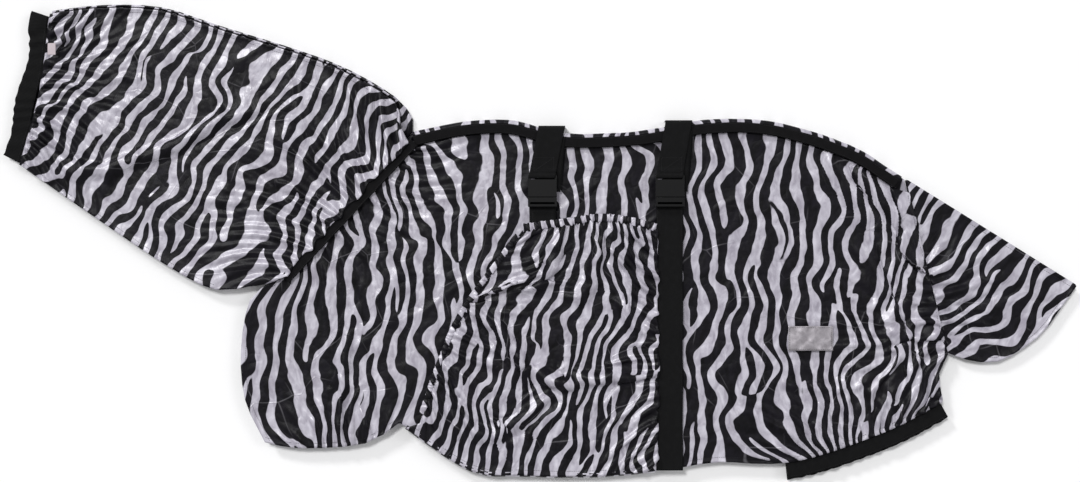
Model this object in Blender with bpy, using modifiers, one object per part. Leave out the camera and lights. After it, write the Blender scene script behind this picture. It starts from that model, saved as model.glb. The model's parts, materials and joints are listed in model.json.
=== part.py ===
"""Pony fly sheet with neck cover, belly flap and tail flap, lying flat and folded along its spine.

Metres, +Z up. X runs toward the tail, Y toward the spine, and Z is 0 on the surface it lies on.
The far side lies underneath, the near side on top, and the pony's space is the gap between them.
The straps, buckles and belly flap lie on the near side.
"""

import math

import bmesh
import bpy
import numpy as np
from mathutils import Matrix, Vector

# Layers of cloth, from the surface up
FAR_THICKNESS = 0.008
HOLLOW_HEIGHT = 0.008
NEAR_THICKNESS = 0.012
TAIL_THICKNESS = 0.012
GAP = 0.0003
SEAM_GAP = 0.0005

# Body
BODY_LENGTH = 1.326
BODY_DEPTH = 0.673
CHEST_X = -0.563
SPINE_TOP_Y = 0.232
FAR_SIDE_SHOWS = 0.008
EDGE_STEP = 0.035

# Neck cover and tail flap, measured outward from their seams
NECK_LENGTH = 0.600
TAIL_LENGTH = 0.297
FOLD_RISE = 0.0005

# Tapes, strips and elastics
SPINE_BINDING_WIDTH = 0.018
NECKLINE_BINDING_WIDTH = 0.020
NECKLINE_BINDING_INSET = 0.006
CREST_TAPE_WIDTH = 0.008
TAPE_THICKNESS = 0.0015
HOOK_AND_LOOP_WIDTH = 0.025
STRIP_INSET = 0.004
HEM_ELASTIC_WIDTH = 0.008
FLAP_ELASTIC_WIDTH = 0.010
POLL_ELASTIC_WIDTH = 0.036
REAR_ELASTIC_WIDTH = 0.0305
WIDE_ELASTIC_THICKNESS = 0.003
FLAP_FOLD_WALL = 0.004

# Webbing straps
WEBBING_WIDTH = 0.050
WEBBING_THICKNESS = 0.0018
STRAP_REACH = 0.148
FLAP_TAB_LENGTH = 0.0223
STRAP_SLANT = 0.018
STRAP_TAIL_SHIFT = 0.009
STRAP_TAIL_END = 0.012

# Side-release buckles, measured up from the mouth of the socket
BUCKLE_WIDTH = 0.054
BUCKLE_THICKNESS = 0.0114
BUCKLE_WALL = 0.0018
BUCKLE_SIDE = 0.004
SOCKET_LENGTH = 0.042
CAVITY_DEPTH = 0.024
SIDE_WINDOW = 0.014
CLIP_BASE = 0.018
SLOT_LENGTH = 0.004
BAR_LENGTH = 0.005
PRONG_WIDTH = 0.008
PRONG_LENGTH = 0.021
ARM_STEM = 0.005
ARM_PIVOT_X = 0.0125
ARM_SQUEEZE = 6
PLAY = 0.0006
CORNER = 0.0012

# Where strips and elastics start and end, as shares of the edge they follow
NECKLINE_SPAN = (0.04, 0.97)
INNER_NECKLINE_SPAN = (0.12, 0.85)
CHEST_CLOSURE_SPAN = (0.10, 0.88)
THROAT_CLOSURE_SPAN = (0.10, 0.92)
FRONT_HEM_SPAN = (0.08, 0.80)
REAR_ELASTIC_SPAN = (0.01, 0.62)
FLAP_FRONT_SPAN = (0.04, 0.95)
FLAP_FOLD_SPAN = (0.0, 0.97)
CREST_SPAN = (0.06, 0.98)
POLL_SPAN = (0.03, 0.98)
LABEL_STATION = 0.25

# Small pieces on the near side
PATCH_SIZE = (0.084, 0.046)
PATCH_PLACE = (0.508, -0.181)
PATCH_THICKNESS = 0.0006
LABEL_SIZE = (0.015, 0.022)
LABEL_INSET = 0.016

# Levels worked out from the layers
HOLLOW_FLOOR = FAR_THICKNESS
NEAR_FLOOR = HOLLOW_FLOOR + HOLLOW_HEIGHT
NEAR_TOP = NEAR_FLOOR + NEAR_THICKNESS
FLAP_FLOOR = NEAR_TOP + GAP
FLAP_TOP = FLAP_FLOOR + WEBBING_THICKNESS
STRAP_FLOOR = FLAP_TOP + GAP
STRAP_TOP = STRAP_FLOOR + WEBBING_THICKNESS
BINDING_TOP = FLAP_FLOOR + TAPE_THICKNESS

BUCKLE_MOUTH_Y = SPINE_TOP_Y - STRAP_REACH
FLAP_TOP_Y = BUCKLE_MOUTH_Y - CLIP_BASE - FLAP_TAB_LENGTH

# Pattern of the body: shares of its length from the chest and of its depth from the top
SPINE = [(0.243, 0.037), (0.311, 0.009), (0.385, 0.003), (0.460, 0.040), (0.567, 0.034)]
SPINE += [(0.652, 0.004), (0.751, 0.006), (0.865, 0.073), (0.938, 0.162)]
RUMP = [(1.004, 0.655), (0.991, 0.712), (0.997, 0.792)]
REAR_HEM = [(0.997, 0.792), (0.915, 0.876), (0.785, 0.960), (0.680, 0.960), (0.629, 0.974)]
BELLY_HEM = [(0.629, 0.974), (0.510, 0.997), (0.396, 0.995), (0.325, 0.980), (0.225, 0.850)]
FRONT_HEM = [(0.225, 0.850), (0.176, 0.908), (0.084, 0.922), (0.034, 0.905)]
CHEST = [(0.034, 0.905), (0.006, 0.787), (0.000, 0.647), (0.013, 0.507), (0.047, 0.451)]
NECK_SEAM = [(0.0475, 0.449), (0.243, 0.037)]
TAIL_SEAM = [(0.945, 0.168), (1.004, 0.655)]
FRONT_STRAP = 0.428
REAR_STRAP = 0.608

# Pattern of the belly flap: shares of the body's length, and down from the flap's top to the belly
FLAP_FRONT = [(0.247, 0.785), (0.274, 0.579), (0.312, 0.342), (0.398, 0.020)]
FLAP_TOP_EDGE = [(0.398, 0.020), (0.456, 0.000), (0.527, -0.019), (0.620, 0.042)]

# Patterns of the neck cover and tail flap: shares outward from the seam and along it
CREST = [(0.030, -0.050), (0.117, -0.070), (0.340, 0.020), (0.684, 0.275), (0.850, 0.400)]
CREST += [(0.989, 0.590), (1.094, 0.785)]
POLL = [(1.094, 0.785), (1.000, 0.980), (0.919, 1.177), (0.830, 1.448)]
THROAT = [(0.830, 1.448), (0.507, 1.375), (0.262, 1.310), (0.110, 1.235), (0.030, 1.080)]
TAIL_TOP = [(0.234, 0.206), (0.902, 0.802)]
TAIL_LOWER = [(0.902, 0.802), (0.746, 0.922), (0.586, 1.031), (0.302, 1.115), (0.100, 1.060)]


def clear_scene():
    for thing in list(bpy.data.objects):
        bpy.data.objects.remove(thing, do_unlink=True)


def make_collection(name):
    collection = bpy.data.collections.new(name)
    bpy.context.scene.collection.children.link(collection)
    return collection


def make_material(name, colour, roughness, metallic=0.0):
    material = bpy.data.materials.new(name)
    material.use_nodes = True
    shader = material.node_tree.nodes["Principled BSDF"]
    shader.inputs["Base Color"].default_value = (*colour, 1.0)
    shader.inputs["Roughness"].default_value = roughness
    shader.inputs["Metallic"].default_value = metallic
    return material


# Edges: each is an array of points in the XY plane


def body_points(shares, top=SPINE_TOP_Y):
    """Pattern points placed on the body, down from a given level to the belly."""
    along, down = np.array(shares).T
    depth = top - (SPINE_TOP_Y - BODY_DEPTH)
    return np.column_stack([CHEST_X + along * BODY_LENGTH, top - down * depth])


def seam_points(shares, top, bottom, length, side):
    """Pattern points measured out from a seam and along it; side is the outward turn."""
    run = bottom - top
    across = side * np.array([-run[1], run[0]]) / np.linalg.norm(run)
    return np.array([top + out * length * across + along * run for out, along in shares])


def smooth(stations):
    """A Catmull-Rom curve through the stations, with a point about every EDGE_STEP."""
    ends = [2 * stations[0] - stations[1], 2 * stations[-1] - stations[-2]]
    p = np.vstack([ends[:1], stations, ends[1:]])
    points = []
    for a, b, c, d in zip(p, p[1:], p[2:], p[3:]):
        count = max(1, round(math.dist(b, c) / EDGE_STEP))
        for t in np.arange(count) / count:
            slope = (c - a) * t + (2 * a - 5 * b + 4 * c - d) * t**2
            points.append(b + (slope + (3 * b - a - 3 * c + d) * t**3) / 2)
    return np.array([*points, stations[-1]])


def offset(edge, distance):
    """The edge moved sideways: to the right of its direction where distance is positive."""
    runs = np.diff(edge, axis=0)
    runs /= np.linalg.norm(runs, axis=1)[:, None]
    before, after = np.vstack([runs[:1], runs]), np.vstack([runs, runs[-1:]])
    middle = before + after
    middle /= np.linalg.norm(middle, axis=1)[:, None]
    stretch = distance / (middle * before).sum(axis=1)
    return edge + np.column_stack([middle[:, 1], -middle[:, 0]]) * stretch[:, None]


def portion(edge, start, end):
    """The stretch of an edge between two shares of its own length."""
    lengths = np.concatenate([[0], np.cumsum(np.linalg.norm(np.diff(edge, axis=0), axis=1))])
    places = lengths / lengths[-1]
    inside = places[(places > start) & (places < end)]
    wanted = np.concatenate([[start], inside, [end]])
    return np.column_stack([np.interp(wanted, places, edge[:, axis]) for axis in range(2)])


def ribbon(edge, inner, outer):
    """The closed outline of the band between two offsets of an edge."""
    return np.vstack([offset(edge, inner), offset(edge, outer)[::-1]])


def up_to_x(edge, x):
    """The stretch of an edge that runs toward +X, cut off at a given X."""
    return np.vstack([edge[edge[:, 0] < x], [x, height_at(edge, x)]])


def height_at(edge, x):
    """The edge's Y at a given X, on an edge that runs one way along X."""
    order = np.argsort(edge[:, 0])
    return float(np.interp(x, edge[order, 0], edge[order, 1]))


def between_x(edge, left, right):
    """The stretch of an edge between two values of X, from left to right."""
    rising = edge[np.argsort(edge[:, 0])]
    inside = rising[(rising[:, 0] > left) & (rising[:, 0] < right)]
    return np.vstack([[left, height_at(edge, left)], inside, [right, height_at(edge, right)]])


# Solids


def plate(name, outline, floor, top, material, collection):
    """A flat outline of cloth, tape or webbing between two levels."""
    curve = bpy.data.curves.new(name, "CURVE")
    curve.dimensions = "2D"
    curve.fill_mode = "BOTH"
    curve.extrude = (top - floor) / 2
    spline = curve.splines.new("POLY")
    spline.points.add(len(outline) - 1)
    centre = np.mean(outline, axis=0)
    for point, (x, y) in zip(spline.points, outline - centre):
        point.co = (x, y, 0, 1)
    spline.use_cyclic_u = True
    thing = bpy.data.objects.new(name, curve)
    thing.location = (*centre, (floor + top) / 2)
    curve.materials.append(material)
    collection.objects.link(thing)
    return thing


def box(name, centre, size, material, collection, corner=0.0):
    """A box, with its upright edges and rims rounded where corner is given."""
    shape = bmesh.new()
    bmesh.ops.create_cube(shape, size=1.0, matrix=Matrix.Diagonal((*size, 1)))
    mesh = bpy.data.meshes.new(name)
    shape.to_mesh(mesh)
    shape.free()
    mesh.materials.append(material)
    thing = bpy.data.objects.new(name, mesh)
    thing.location = centre
    collection.objects.link(thing)
    if corner:
        rounding = thing.modifiers.new("rounding", "BEVEL")
        rounding.width = corner
        rounding.segments = 2
    return thing


def as_mesh(thing):
    """The same object as a closed mesh, so that it can be cut or joined."""
    bpy.context.view_layer.update()
    graph = bpy.context.evaluated_depsgraph_get()
    mesh = bpy.data.meshes.new_from_object(thing.evaluated_get(graph))
    shape = bmesh.new()
    shape.from_mesh(mesh)
    bmesh.ops.remove_doubles(shape, verts=shape.verts, dist=0.00001)
    shape.to_mesh(mesh)
    shape.free()
    name, place, collection = thing.name, thing.matrix_world.copy(), thing.users_collection[0]
    bpy.data.objects.remove(thing, do_unlink=True)
    solid = bpy.data.objects.new(name, mesh)
    solid.matrix_world = place
    collection.objects.link(solid)
    return solid


def boolean(target, other, operation):
    """Cuts or joins with a helper object that isn't a piece itself."""
    other.hide_render = True
    other.display_type = "WIRE"
    change = target.modifiers.new(other.name, "BOOLEAN")
    change.object = other
    change.operation = operation
    change.solver = "EXACT"


def hinge_empty(name, place, children):
    """An empty on a joint's axis that carries the pieces that move about it."""
    empty = bpy.data.objects.new(name, None)
    empty.location = place
    empty.empty_display_size = 0.05
    PIECES.objects.link(empty)
    bpy.context.view_layer.update()
    for child in children:
        child.parent = empty
        child.matrix_parent_inverse = Matrix.Translation(-Vector(place))
    return empty


# Edges of the pattern

clear_scene()
PIECES = make_collection("fly_sheet")
HELPERS = make_collection("helpers")

spine_edge = smooth(body_points(SPINE))
rump_edge = smooth(body_points(RUMP))
rear_hem_edge = smooth(body_points(REAR_HEM))
belly_hem_edge = smooth(body_points(BELLY_HEM))
front_hem_edge = smooth(body_points(FRONT_HEM))
chest_edge = smooth(body_points(CHEST))
neck_seam = body_points(NECK_SEAM)
tail_seam = body_points(TAIL_SEAM)
crest_edge = smooth(seam_points(CREST, *neck_seam[::-1], NECK_LENGTH, -1))
poll_edge = smooth(seam_points(POLL, *neck_seam[::-1], NECK_LENGTH, -1))
throat_edge = smooth(seam_points(THROAT, *neck_seam[::-1], NECK_LENGTH, -1))
tail_top_edge = seam_points(TAIL_TOP, *tail_seam, TAIL_LENGTH, 1)
tail_lower_edge = smooth(seam_points(TAIL_LOWER, *tail_seam, TAIL_LENGTH, 1))
front_strap_x, rear_strap_x = body_points([(FRONT_STRAP, 0), (REAR_STRAP, 0)])[:, 0]

print_cloth = make_material("striped_polyester", (0.28, 0.27, 0.30), 0.45)
black_webbing = make_material("black_webbing", (0.012, 0.012, 0.013), 0.75)
black_elastic = make_material("black_elastic", (0.013, 0.013, 0.014), 0.85)
hook_and_loop = make_material("black_hook_and_loop", (0.010, 0.010, 0.010), 0.95)
black_plastic = make_material("black_acetal", (0.010, 0.010, 0.011), 0.35)
reflective = make_material("silver_reflective_film", (0.30, 0.29, 0.32), 0.25, 0.4)
white_label = make_material("white_satin_label", (0.60, 0.58, 0.60), 0.5)


def make_body():
    """The two side panels and the binding that joins them along the spine."""
    seam_side = offset(neck_seam, SEAM_GAP)
    tail_side = offset(tail_seam, SEAM_GAP)
    below = [tail_side, rump_edge, rear_hem_edge[1:], belly_hem_edge[1:], front_hem_edge[1:]]
    far = np.vstack([spine_edge, *below, chest_edge[1:], seam_side])
    plate("far_side_panel", far, 0.0, FAR_THICKNESS, print_cloth, PIECES)

    inset = FAR_SIDE_SHOWS + SPINE_BINDING_WIDTH + GAP
    seam_drop = inset / np.ptp(neck_seam[:, 1])
    tail_drop = inset / np.ptp(tail_seam[:, 1])
    below[0] = portion(tail_side, tail_drop, 1)
    seam_side = portion(seam_side, 0, 1 - seam_drop)
    near = np.vstack([offset(spine_edge, inset), *below, chest_edge[1:], seam_side])
    plate("near_side_panel", near, NEAR_FLOOR, NEAR_TOP, print_cloth, PIECES)

    binding = ribbon(spine_edge, FAR_SIDE_SHOWS, FAR_SIDE_SHOWS + SPINE_BINDING_WIDTH)
    plate("spine_binding", binding, HOLLOW_FLOOR + GAP, NEAR_TOP, black_webbing, PIECES)


def make_neckline_bindings():
    """The tapes that cover the neck seam: on top of the near side, and inside the far side."""
    sides = NECKLINE_BINDING_INSET, NECKLINE_BINDING_INSET + NECKLINE_BINDING_WIDTH
    tape = ribbon(portion(neck_seam, *NECKLINE_SPAN), *sides)
    plate("near_neckline_binding", tape, FLAP_FLOOR, BINDING_TOP, black_webbing, PIECES)
    inner = ribbon(portion(neck_seam, *INNER_NECKLINE_SPAN), *sides)
    floor = HOLLOW_FLOOR + GAP
    plate("far_neckline_binding", inner, floor, floor + TAPE_THICKNESS, black_webbing, PIECES)


def make_closure(name, edge):
    """The hook strip and loop strip of a closure, between the two sides."""
    outline = ribbon(edge, STRIP_INSET, STRIP_INSET + HOOK_AND_LOOP_WIDTH)
    middle = HOLLOW_FLOOR + HOLLOW_HEIGHT / 2
    low, high = HOLLOW_FLOOR + GAP, NEAR_FLOOR - GAP
    pieces = [plate(f"{name}_loop_strip", outline, low, middle - GAP / 2, hook_and_loop, PIECES)]
    pieces.append(plate(f"{name}_hook_strip", outline, middle + GAP / 2, high, hook_and_loop, PIECES))
    return pieces


def make_hem_elastics():
    """The elastics in the front hems, the belly flap and the rear hem."""
    hem = ribbon(portion(front_hem_edge, *FRONT_HEM_SPAN), STRIP_INSET, STRIP_INSET + HEM_ELASTIC_WIDTH)
    low, high = HOLLOW_FLOOR + GAP, NEAR_FLOOR - GAP
    far_top, near_floor = low + TAPE_THICKNESS, high - TAPE_THICKNESS
    plate("front_hem_elastic_far", hem, low, far_top, black_elastic, PIECES)
    plate("front_hem_elastic_near", hem, near_floor, high, black_elastic, PIECES)

    run = portion(rear_hem_edge, *REAR_ELASTIC_SPAN)
    for name, level, shift in [("near", NEAR_FLOOR, 0.0), ("far", TAPE_THICKNESS, 0.004)]:
        outline = ribbon(run, -GAP, -REAR_ELASTIC_WIDTH - shift)
        top = level + WIDE_ELASTIC_THICKNESS
        plate(f"rear_hem_elastic_{name}", outline, level, top, black_elastic, PIECES)


def make_belly_flap():
    """The flap on the near side, its gathered edges, and its fold under the belly."""
    band_side = rear_strap_x - WEBBING_WIDTH / 2 - GAP
    front = smooth(body_points(FLAP_FRONT, FLAP_TOP_Y))
    border = np.vstack([front, smooth(body_points(FLAP_TOP_EDGE, FLAP_TOP_Y))[1:]])
    elastic = offset(border, FLAP_ELASTIC_WIDTH)
    inner = up_to_x(offset(border, FLAP_ELASTIC_WIDTH + GAP), band_side)
    hem = up_to_x(belly_hem_edge[::-1], band_side)[::-1]
    hem = portion(hem, *FLAP_FOLD_SPAN)
    outline = np.vstack([inner, hem])
    plate("belly_flap", outline, FLAP_FLOOR, FLAP_TOP, print_cloth, PIECES)

    wall = ribbon(hem, -GAP, -GAP - FLAP_FOLD_WALL)
    plate("belly_flap_fold", wall, 0.0, FLAP_TOP, print_cloth, PIECES)

    corner = len(front) - 1
    top = up_to_x(border[corner:], band_side)
    gathered = np.vstack([top, up_to_x(elastic[corner:], band_side)[::-1]])
    plate("flap_top_elastic", gathered, FLAP_FLOOR, FLAP_TOP, black_elastic, PIECES)
    gathered = ribbon(portion(border[: corner + 1], *FLAP_FRONT_SPAN), 0.0, FLAP_ELASTIC_WIDTH)
    plate("flap_front_elastic", gathered, FLAP_FLOOR, FLAP_TOP, black_elastic, PIECES)
    return top


def make_straps(flap_top):
    """The two webbing straps over the back, their folded tails, and what they fasten to."""
    socket_top = BUCKLE_MOUTH_Y + SOCKET_LENGTH + GAP
    half = WEBBING_WIDTH / 2
    for name, x in [("front", front_strap_x), ("rear", rear_strap_x)]:
        top_x = x + STRAP_SLANT
        reach = between_x(spine_edge, top_x - half, top_x + half)[:, 1]
        top = max(reach) + GAP + WEBBING_THICKNESS
        outline = [(x - half, socket_top), (x + half, socket_top)]
        outline += [(top_x + half, top), (top_x - half, top)]
        strap = plate(f"{name}_strap", np.array(outline), STRAP_FLOOR, STRAP_TOP, black_webbing, PIECES)
        strap = as_mesh(strap)
        centre = (top_x, top - WEBBING_THICKNESS / 2, STRAP_TOP / 2)
        size = (WEBBING_WIDTH, WEBBING_THICKNESS, STRAP_TOP)
        wrap = box(f"{name}_strap_over_back", centre, size, black_webbing, HELPERS)
        boolean(strap, wrap, "UNION")

        tail_x = x + STRAP_TAIL_SHIFT
        end = BUCKLE_MOUTH_Y + STRAP_TAIL_END
        outline = [(tail_x - half, end), (tail_x + half, end)]
        tail_top = min(reach) - FAR_SIDE_SHOWS
        outline += [(top_x + half, tail_top), (top_x - half, tail_top)]
        plate(f"{name}_strap_tail", np.array(outline), FLAP_FLOOR, FLAP_TOP, black_webbing, PIECES)

    start = BUCKLE_MOUTH_Y - CLIP_BASE / 2
    left, right = front_strap_x - half, front_strap_x + half
    lower = between_x(flap_top, left, right) + (0, GAP)
    outline = np.vstack([[(right, start), (left, start)], lower])
    plate("front_flap_tab", outline, FLAP_FLOOR, FLAP_TOP, black_webbing, PIECES)

    left, right = rear_strap_x - half, rear_strap_x + half
    hem = min(height_at(belly_hem_edge, left), height_at(rear_hem_edge, right))
    outline = np.array([(left, start), (right, start), (right, hem), (left, hem)])
    plate("rear_girth_band", outline, FLAP_FLOOR, FLAP_TOP, black_webbing, PIECES)


def make_socket(name, x):
    """The buckle half on the strap: open at its mouth and at both sides, where the arms are pressed."""
    level = STRAP_FLOOR + BUCKLE_THICKNESS / 2
    size = (BUCKLE_WIDTH, SOCKET_LENGTH, BUCKLE_THICKNESS)
    centre = (x, BUCKLE_MOUTH_Y + SOCKET_LENGTH / 2, level)
    socket = box(f"{name}_buckle_socket", centre, size, black_plastic, PIECES, CORNER)

    inside = BUCKLE_THICKNESS - 2 * BUCKLE_WALL
    width = BUCKLE_WIDTH - 2 * BUCKLE_SIDE
    size = (width, 2 * CAVITY_DEPTH, inside)
    cavity = box(f"{name}_cavity", (x, BUCKLE_MOUTH_Y, level), size, black_plastic, HELPERS)
    boolean(socket, cavity, "DIFFERENCE")
    size = (2 * BUCKLE_WIDTH, 2 * SIDE_WINDOW, inside)
    sides = box(f"{name}_side_windows", (x, BUCKLE_MOUTH_Y, level), size, black_plastic, HELPERS)
    boolean(socket, sides, "DIFFERENCE")
    slot_y = BUCKLE_MOUTH_Y + SOCKET_LENGTH - BAR_LENGTH - SLOT_LENGTH / 2
    size = (width, SLOT_LENGTH, 2 * BUCKLE_THICKNESS)
    slot = box(f"{name}_web_slot", (x, slot_y, level), size, black_plastic, HELPERS)
    boolean(socket, slot, "DIFFERENCE")


def make_clip(name, x):
    """The buckle half on the flap: a base with a web slot and a centre prong, and two springy arms."""
    level = STRAP_FLOOR + BUCKLE_THICKNESS / 2
    face = BUCKLE_MOUTH_Y - GAP
    size = (BUCKLE_WIDTH, CLIP_BASE, BUCKLE_THICKNESS)
    base = box(f"{name}_clip", (x, face - CLIP_BASE / 2, level), size, black_plastic, PIECES, CORNER)
    tall = BUCKLE_THICKNESS - 2 * BUCKLE_WALL - 2 * PLAY
    prong_start = face - BAR_LENGTH
    size = (PRONG_WIDTH, PRONG_LENGTH + BAR_LENGTH, tall)
    centre = (x, prong_start + size[1] / 2, level)
    boolean(base, box(f"{name}_prong", centre, size, black_plastic, HELPERS), "UNION")
    slot_y = face - CLIP_BASE + BAR_LENGTH + SLOT_LENGTH / 2
    size = (BUCKLE_WIDTH - 2 * BUCKLE_SIDE, SLOT_LENGTH, 2 * BUCKLE_THICKNESS)
    slot = box(f"{name}_clip_web_slot", (x, slot_y, level), size, black_plastic, HELPERS)
    boolean(base, slot, "DIFFERENCE")

    floor, top = level - tall / 2, level + tall / 2
    root = ARM_STEM / 2
    axes = []
    for side, word in [(-1, "left"), (1, "right")]:
        pivot = np.array([x + side * ARM_PIVOT_X, BUCKLE_MOUTH_Y + root])
        turns = np.radians(np.linspace(180, 360, 7))
        round_root = root * np.column_stack([np.cos(turns), np.sin(turns)])
        pad_out = BUCKLE_WIDTH / 2 - ARM_PIVOT_X - PLAY
        tip_y = PRONG_LENGTH - root
        swing = pad_out * math.sin(math.radians(ARM_SQUEEZE))
        pad_end = SIDE_WINDOW - root - swing - GAP
        shape = [(root, root), (pad_out, 2 * root), (pad_out, pad_end), (pad_out - BUCKLE_SIDE, pad_end)]
        shape += [(0.0, tip_y), (-root, pad_end)]
        outline = np.vstack([round_root, shape]) * (side, 1)
        outline = outline if side > 0 else outline[::-1]
        arm = plate(f"{name}_clip_arm_{word}", outline + pivot, floor, top, black_plastic, PIECES)
        axes.append(hinge_empty(f"{name}_arm_{word}_axis", (*pivot, level), [arm]))
    hinge_empty(f"{name}_clip_slide", (x, BUCKLE_MOUTH_Y, level), [base, *axes])


def make_neck_cover():
    """The neck cover: two sides joined along the crest, closed at the throat, elastic at the poll."""
    seam = offset(neck_seam[::-1], SEAM_GAP)
    far = np.vstack([crest_edge, poll_edge[1:], throat_edge[1:], seam[::-1]])
    pieces = [plate("neck_far_panel", far, 0.0, FAR_THICKNESS, print_cloth, PIECES)]
    inset = CREST_TAPE_WIDTH + GAP
    inner_crest = offset(portion(crest_edge, CREST_SPAN[0], 1), -inset)
    near = np.vstack([inner_crest, poll_edge[1:], throat_edge[1:], portion(seam, 0.05, 1)[::-1]])
    pieces.append(plate("neck_near_panel", near, NEAR_FLOOR, NEAR_TOP, print_cloth, PIECES))
    tape = ribbon(portion(crest_edge, *CREST_SPAN), 0.0, -CREST_TAPE_WIDTH)
    pieces.append(plate("crest_tape", tape, HOLLOW_FLOOR + GAP, NEAR_TOP, black_webbing, PIECES))
    pieces += make_closure("throat", portion(throat_edge[::-1], *THROAT_CLOSURE_SPAN))

    run = portion(poll_edge, *POLL_SPAN)
    outline = ribbon(run, GAP, POLL_ELASTIC_WIDTH)
    for name, level in [("near", NEAR_FLOOR), ("far", TAPE_THICKNESS)]:
        top = level + WIDE_ELASTIC_THICKNESS
        pieces.append(plate(f"poll_elastic_{name}", outline, level, top, black_elastic, PIECES))

    corner = portion(poll_edge, LABEL_STATION, 1)
    place = offset(corner, -LABEL_INSET)[0]
    label = box("care_label", (0, 0, 0), (*LABEL_SIZE, TAPE_THICKNESS / 2), white_label, PIECES)
    label.location = (*place, NEAR_TOP + GAP + TAPE_THICKNESS / 4)
    pieces.append(label)
    hinge_empty("neck_fold_axis", (*neck_seam[1], BINDING_TOP + FOLD_RISE), pieces)


def make_tail_flap():
    """The tail flap: one piece of cloth folded along its middle, so it lies as two halves."""
    seam = offset(tail_seam, -SEAM_GAP)
    outline = np.vstack([seam[:1], tail_top_edge, tail_lower_edge[1:], seam[1:]])
    floor = FAR_THICKNESS + GAP
    pieces = [plate("tail_flap_far_half", outline, 0.0, FAR_THICKNESS, print_cloth, PIECES)]
    top = floor + TAIL_THICKNESS
    pieces.append(plate("tail_flap_near_half", outline, floor, top, print_cloth, PIECES))
    hinge_empty("tail_fold_axis", (*tail_seam[0], NEAR_TOP + FOLD_RISE), pieces)


def make_patch():
    centre = (*PATCH_PLACE, NEAR_TOP + GAP + PATCH_THICKNESS / 2)
    box("reflective_patch", centre, (*PATCH_SIZE, PATCH_THICKNESS), reflective, PIECES)


make_body()
make_neckline_bindings()
make_closure("chest", portion(chest_edge, *CHEST_CLOSURE_SPAN))
make_hem_elastics()
make_straps(make_belly_flap())
for strap, strap_x in [("front", front_strap_x), ("rear", rear_strap_x)]:
    make_socket(strap, strap_x)
    make_clip(strap, strap_x)
make_neck_cover()
make_tail_flap()
make_patch()
bpy.context.view_layer.update()
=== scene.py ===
"""The looks of a pony fly sheet that lies flat, folded along its spine.

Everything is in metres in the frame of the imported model: X toward the tail, Y toward the spine, Z up.
"""

import json
import math

import bmesh
import bpy
import numpy as np
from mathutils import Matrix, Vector
from mathutils.bvhtree import BVHTree

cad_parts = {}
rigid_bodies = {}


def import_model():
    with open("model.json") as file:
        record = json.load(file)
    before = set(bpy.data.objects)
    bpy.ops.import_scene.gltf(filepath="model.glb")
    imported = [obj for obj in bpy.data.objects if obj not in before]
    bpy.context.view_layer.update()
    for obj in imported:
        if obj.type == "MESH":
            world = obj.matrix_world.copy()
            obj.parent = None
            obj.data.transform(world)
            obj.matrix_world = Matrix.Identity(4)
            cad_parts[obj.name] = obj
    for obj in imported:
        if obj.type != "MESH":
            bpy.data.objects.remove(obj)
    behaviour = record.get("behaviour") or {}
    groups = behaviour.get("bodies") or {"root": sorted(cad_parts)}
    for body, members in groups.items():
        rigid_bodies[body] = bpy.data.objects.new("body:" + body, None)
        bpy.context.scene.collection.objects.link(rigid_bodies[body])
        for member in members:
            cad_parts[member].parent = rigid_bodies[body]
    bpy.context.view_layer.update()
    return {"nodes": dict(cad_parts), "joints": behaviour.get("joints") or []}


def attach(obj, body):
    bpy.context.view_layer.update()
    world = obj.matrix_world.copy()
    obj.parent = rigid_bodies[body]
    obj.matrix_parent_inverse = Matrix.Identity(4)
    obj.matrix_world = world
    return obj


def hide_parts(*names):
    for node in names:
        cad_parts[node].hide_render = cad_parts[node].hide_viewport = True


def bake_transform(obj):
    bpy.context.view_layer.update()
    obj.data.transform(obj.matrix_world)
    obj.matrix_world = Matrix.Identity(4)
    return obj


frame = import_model()
cad = frame["nodes"]
joints = {joint["name"]: joint for joint in frame["joints"]}


# The studio: the sheet is seen from straight above, on a pale floor, under three broad soft suns: one
# overhead, a lower one from the crest side that draws the creases, and a weak one from the tail side.

VIEW_WIDTH = 2.034
VIEW_CENTRE = (0.0, 0.0019)
CLOTH_LEVEL = 0.020
LENS = 50.0
SENSOR = 36.0


def linear(hex_colour):
    """An sRGB hex colour as the linear values that shaders take."""
    values = [int(hex_colour[i : i + 2], 16) / 255 for i in (0, 2, 4)]
    return [v / 12.92 if v <= 0.04045 else ((v + 0.055) / 1.055) ** 2.4 for v in values] + [1.0]


def add_node(tree, kind, inputs=None, **settings):
    """Adds a shader or geometry node with its settings; an input is a value or another node's output."""
    node = tree.nodes.new(kind)
    for name, value in settings.items():
        setattr(node, name, value)
    for name, value in (inputs or {}).items():
        if isinstance(value, bpy.types.NodeSocket):
            tree.links.new(value, node.inputs[name])
        else:
            node.inputs[name].default_value = value
    return node


def new_material(name):
    """An empty material and its Principled shader, already linked to the output."""
    material = bpy.data.materials.new(name)
    material.use_nodes = True
    shader = material.node_tree.nodes["Principled BSDF"]
    return material, material.node_tree, shader


camera_data = bpy.data.cameras.new("camera")
camera_data.lens = LENS
camera_data.sensor_width = SENSOR
camera_data.clip_end = 50.0
camera = bpy.data.objects.new("camera", camera_data)
camera.location = (*VIEW_CENTRE, CLOTH_LEVEL + VIEW_WIDTH * LENS / SENSOR)
bpy.context.collection.objects.link(camera)
bpy.context.scene.camera = camera
bpy.context.scene.view_settings.view_transform = "Standard"

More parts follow.
